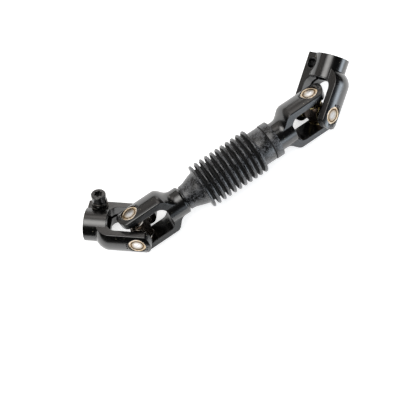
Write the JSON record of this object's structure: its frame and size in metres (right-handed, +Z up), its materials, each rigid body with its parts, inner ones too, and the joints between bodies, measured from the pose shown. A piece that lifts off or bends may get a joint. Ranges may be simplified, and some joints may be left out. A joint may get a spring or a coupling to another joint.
{
  "type": "universal joint shaft",
  "caption": "Telescopic steering shaft with a universal joint and pinch-bolt clamp yoke at each end and a rubber bellows boot over the slip joint.",
  "frame": {"origin": "middle of the footprint, on the surface that the shaft lies on", "axes": "+X along the centre shaft from the lower joint to the upper joint, +Z up"},
  "size_m": [0.2852, 0.0736, 0.0501],
  "materials": {
    "yoke_paint": "semi-gloss black coating over forged steel",
    "cup_steel": "bright drawn steel with a bronze tint at the rim",
    "needle_steel": "ground steel",
    "cross_steel": "forged and ground bare steel",
    "retainer_steel": "pressed steel, lightly plated",
    "seal_rubber": "moulded seal rubber",
    "boot_rubber": "moulded rubber, matt with a dusty bloom",
    "shaft_steel": "greased machined steel",
    "bush_plastic": "moulded bearing plastic",
    "spring_steel": "oiled spring steel",
    "bolt_black": "black oxide",
    "washer_steel": "dark zinc"
  },
  "bodies": {
    "upper_shaft": {"upper_shaft_yoke": "yoke_paint", "slip_tube": "yoke_paint", "guide_bush": "bush_plastic", "bush_circlip": "spring_steel", "bellows_boot": "boot_rubber", "upper_shaft_cups": "cup_steel", "upper_shaft_needles": "needle_steel"},
    "lower_shaft": {"lower_shaft_yoke": "yoke_paint", "slip_shaft": "shaft_steel", "lower_shaft_cups": "cup_steel", "lower_shaft_needles": "needle_steel"},
    "lower_cross": {"lower_cross": "cross_steel", "lower_cross_retainers": "retainer_steel", "lower_cross_seals": "seal_rubber"},
    "lower_clamp": {"lower_clamp_yoke": "yoke_paint", "lower_clamp_cups": "cup_steel", "lower_clamp_needles": "needle_steel", "pinch_bolt": "bolt_black", "flat_washer": "washer_steel", "jam_nut": "bolt_black", "lock_washer": "spring_steel"},
    "upper_cross": {"upper_cross": "cross_steel", "upper_cross_retainers": "retainer_steel", "upper_cross_seals": "seal_rubber"},
    "upper_clamp": {"upper_clamp_yoke": "yoke_paint", "upper_clamp_cups": "cup_steel", "upper_clamp_needles": "needle_steel"}
  },
  "joints": [
    {"name": "telescope", "type": "slide", "parent": "upper_shaft", "child": "lower_shaft", "axis": [-1, 0, 0], "range_m": [-0.02, 0.02], "deforming": ["bellows_boot"]},
    {"name": "lower_shaft_pins", "type": "hinge", "parent": "lower_shaft", "child": "lower_cross", "pos_m": [-0.09488, -0.0127, 0.0217], "axis": [0, 0.6534, 0.757], "range_deg": [-11.8, 70.2]},
    {"name": "lower_clamp_pins", "type": "hinge", "parent": "lower_cross", "child": "lower_clamp", "pos_m": [-0.09488, -0.0127, 0.0217], "axis": [-0.4879, -0.6608, 0.5704], "range_deg": [-15.4, 66.6]},
    {"name": "upper_shaft_pins", "type": "hinge", "parent": "upper_shaft", "child": "upper_cross", "pos_m": [0.09572, -0.0127, 0.0217], "axis": [0, 0.6534, 0.757], "range_deg": [-59.4, 22.6]},
    {"name": "upper_clamp_pins", "type": "hinge", "parent": "upper_cross", "child": "upper_clamp", "pos_m": [0.09572, -0.0127, 0.0217], "axis": [0.3156, -0.7183, 0.62], "range_deg": [-77.8, 4.2]}
  ]
}
